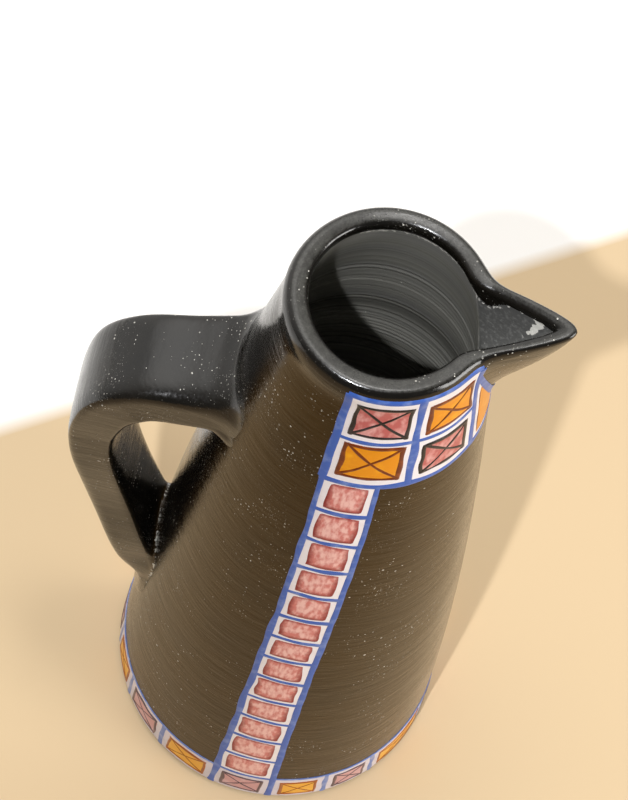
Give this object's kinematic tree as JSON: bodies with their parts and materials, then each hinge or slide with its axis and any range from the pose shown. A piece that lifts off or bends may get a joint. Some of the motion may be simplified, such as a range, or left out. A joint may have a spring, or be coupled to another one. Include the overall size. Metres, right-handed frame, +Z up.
{
  "type": "pouring jug",
  "caption": "Tall conical pouring jug with a rounded rim, a pointed open spout, a strap handle and painted bands of boxes and crosses; holds and pours a drink.",
  "frame": {"origin": "centre of the flat base, on the surface that the jug stands on", "axes": "+Z up along the jug's axis, +X towards the spout's tip, the handle on -X"},
  "size_m": [0.1239, 0.0996, 0.2542],
  "materials": {
    "black_glaze": "gloss",
    "white_ground": "gloss",
    "blue_line": "gloss",
    "pink_wash": "gloss",
    "yellow_wash": "gloss",
    "dark_stroke": "gloss",
    "brown_stroke": "gloss"
  },
  "bodies": {
    "root": {"thrown_body": "black_glaze", "rim_roll": "black_glaze", "pouring_spout": "black_glaze", "handle_strap": "black_glaze", "handle_upper_join": "black_glaze", "handle_lower_tail": "black_glaze", "collar_ground": "white_ground", "collar_lines": "blue_line", "collar_pink_boxes": "pink_wash", "collar_yellow_boxes": "yellow_wash", "collar_dark_crosses": "dark_stroke", "collar_brown_crosses": "brown_stroke", "spout_yellow_boxes": "yellow_wash", "spout_brown_outlines": "brown_stroke", "ladder_ground": "white_ground", "ladder_lines": "blue_line", "ladder_pink_boxes": "pink_wash", "foot_ground": "white_ground", "foot_lines": "blue_line", "foot_pink_boxes": "pink_wash", "foot_yellow_boxes": "yellow_wash", "foot_dark_crosses": "dark_stroke", "foot_brown_crosses": "brown_stroke"}
  },
  "joints": []
}
